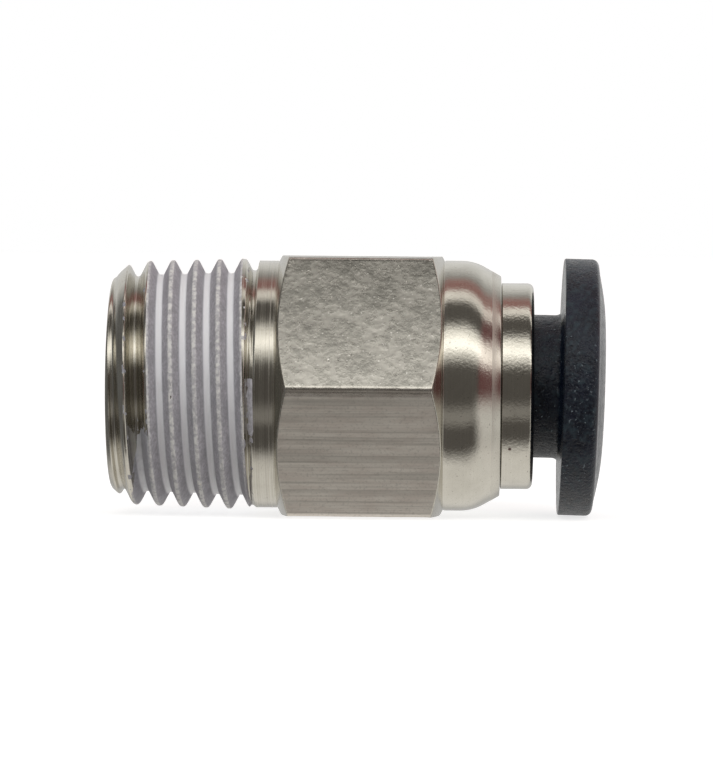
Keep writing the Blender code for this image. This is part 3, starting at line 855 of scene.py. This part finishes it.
LEFT_LEVEL, RIGHT_LEVEL = 0.15, 0.55  # past the ends of the long lights, to the left and to the right

# Over which part of a direction's x or z (-1 to 1) each of these grows from nothing to full
RED_X = (0.60, 0.75)
TABLE_X, TABLE_Z = (0.45, 0.80), (-0.04, -0.38)
LEFT_X, RIGHT_X = (-0.52, -0.80), (0.90, 0.99)

CAMERA_DISTANCE = 159 * MM
CAMERA_AIM = (-0.08 * MM, 0, -0.125 * MM)  # from the middle of the fitting
CAMERA_AZIMUTH, CAMERA_ELEVATION, CAMERA_ROLL = (math.radians(a) for a in (1.36, 2.0, 0.46))


def gray(level):
    return (level, level, level, 1.0)


def light_world():
    """Surround the fitting with long soft lights, all parallel to its axis."""
    world = bpy.data.worlds.new("studio")
    bpy.context.scene.world = world
    world.use_nodes = True
    sky = Nodes(world.node_tree)
    x, y, z = sky.split(sky.node("TexCoord", output=0))
    turn = sky.math("ARCTAN2", z, sky.math("MULTIPLY", y, -1.0))
    degrees = sky.math("ADD", sky.math("MULTIPLY", turn, 180 / math.pi), 360.0)
    degrees = sky.math("MODULO", degrees, 360.0)
    room = tuple(ROOM_LEVEL * c for c in ROOM_COLOR)
    total = sky.mix(sky.ramp(x, *RED_X), (*room, 1), ROOM_RIGHT)
    for _, (start, full), (fade, end), level, tint in GLOWS:
        share = sky.math("MULTIPLY", sky.ramp(degrees, start, full), sky.ramp(degrees, end, fade))
        tinted = tuple(level * c for c in tint)
        glow = sky.node("VectorMath", {0: tinted, "Scale": share}, operation="SCALE")
        total = sky.node("VectorMath", {0: total, 1: glow}, operation="ADD")
    below = sky.math("MULTIPLY", sky.ramp(x, *TABLE_X), sky.ramp(z, *TABLE_Z))
    right_table = tuple(TABLE_RIGHT * c for c in TABLE_COLOR)
    surround = sky.mix(below, total, (*right_table, 1))
    for part, level in ((LEFT_X, LEFT_LEVEL), (RIGHT_X, RIGHT_LEVEL)):
        surround = sky.mix(sky.ramp(x, *part), surround, gray(level))
    seen = sky.node("LightPath", output=0)
    picture = sky.mix(seen, surround, gray(1.0))
    sky.put(sky.tree.nodes["Background"].inputs["Color"], picture)


def add_floor():
    """A plain pale floor just below the fitting."""
    bpy.ops.mesh.primitive_plane_add(size=FLOOR_SIZE, location=(0, 0, CAD_BOX[0][2] - FLOOR_GAP))
    floor = bpy.context.active_object
    floor.name = "floor"
    material = bpy.data.materials.new("floor_pale")
    material.use_nodes = True
    shader = material.node_tree.nodes["Principled BSDF"]
    shader.inputs["Base Color"].default_value = gray(0.55)
    shader.inputs["Roughness"].default_value = 1.0
    shader.inputs["Specular IOR Level"].default_value = 0.0
    shader.inputs["Emission Color"].default_value = gray(1.0)
    shader.inputs["Emission Strength"].default_value = 0.74
    floor.data.materials.append(material)
    floor.visible_glossy = False
    floor.visible_diffuse = False
    floor.visible_shadow = False


def add_area(name, width, depth, radiance):
    """A soft light high in front of the fitting, as long as the studio."""
    light = bpy.data.lights.new(name, "AREA")
    light.shape = "RECTANGLE"
    light.size = width
    light.size_y = depth
    light.energy = radiance * math.pi * width * depth
    box = bpy.data.objects.new(name, light)
    elevation = math.radians(LIGHT_ELEVATION)
    place = Vector((0, -math.cos(elevation), math.sin(elevation))) * LIGHT_DISTANCE
    box.matrix_world = Matrix.Translation(place) @ place.to_track_quat("Z", "Y").to_matrix().to_4x4()
    box.visible_camera = False
    bpy.context.scene.collection.objects.link(box)
    return box


def add_lights():
    """A narrow softbox for the brightest highlight, and a wide fill that lifts only matt surfaces."""
    add_area("softbox", *SOFTBOX)
    add_area("fill", *FILL).visible_glossy = False


def add_camera():
    """Long lens, almost square to the axis, a little above it and turned slightly towards the sleeve."""
    data = bpy.data.cameras.new("camera")
    data.lens = 190
    data.sensor_width = 36
    data.clip_start = 0.01
    data.clip_end = 20
    camera = bpy.data.objects.new("camera", data)
    low, high = CAD_BOX
    target = Vector(((low[0] + high[0]) / 2 + CAMERA_AIM[0], CAMERA_AIM[1], CAMERA_AIM[2]))
    away = Vector((
        math.sin(CAMERA_AZIMUTH) * math.cos(CAMERA_ELEVATION),
        -math.cos(CAMERA_AZIMUTH) * math.cos(CAMERA_ELEVATION),
        math.sin(CAMERA_ELEVATION),
    ))
    look = away.to_track_quat("Z", "Y").to_matrix().to_4x4()
    place = Matrix.Translation(target + away * CAMERA_DISTANCE)
    camera.matrix_world = place @ look @ Matrix.Rotation(CAMERA_ROLL, 4, "Z")
    bpy.context.scene.collection.objects.link(camera)
    bpy.context.scene.camera = camera


def main():
    add_camera()
    turned_metal = turned_nickel("nickel_turned", 0.0014 * MM, 0.0015 * MM, 0.42)
    shoulder_metal = turned_nickel("nickel_shoulder", 0.0038 * MM, 0.0004 * MM, 0.06)
    pit = on_cylinder(GUIDE_R, PIT_ANGLE, START + BODY_END + PIT_HEIGHT)
    ring_metal = turned_nickel("nickel_ring", 0.0060 * MM, 0.0004 * MM, 0.08, tuple(pit))
    rubber = rubber_material()
    pieces = [
        (make_body(turned_metal, bar_nickel(), shoulder_metal), "fitting_body", "nickel_plate"),
        (make_sealant(sealant_material()), "fitting_body", "thread_sealant"),
        (make_guide_ring(ring_metal), "fitting_body", "nickel_plate"),
        (make_back_ring(ring_metal), "fitting_body", "nickel_plate"),
        (make_seal(rubber), "fitting_body", "nitrile_rubber"),
        (make_sleeve(acetal_material()), "release_sleeve", "black_acetal"),
    ]
    for piece, body, slot in pieces:
        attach(piece, body)
    dress_claw(steel_material())
    light_world()
    add_lights()
    add_floor()
    bpy.context.scene.view_settings.view_transform = "Standard"


main()
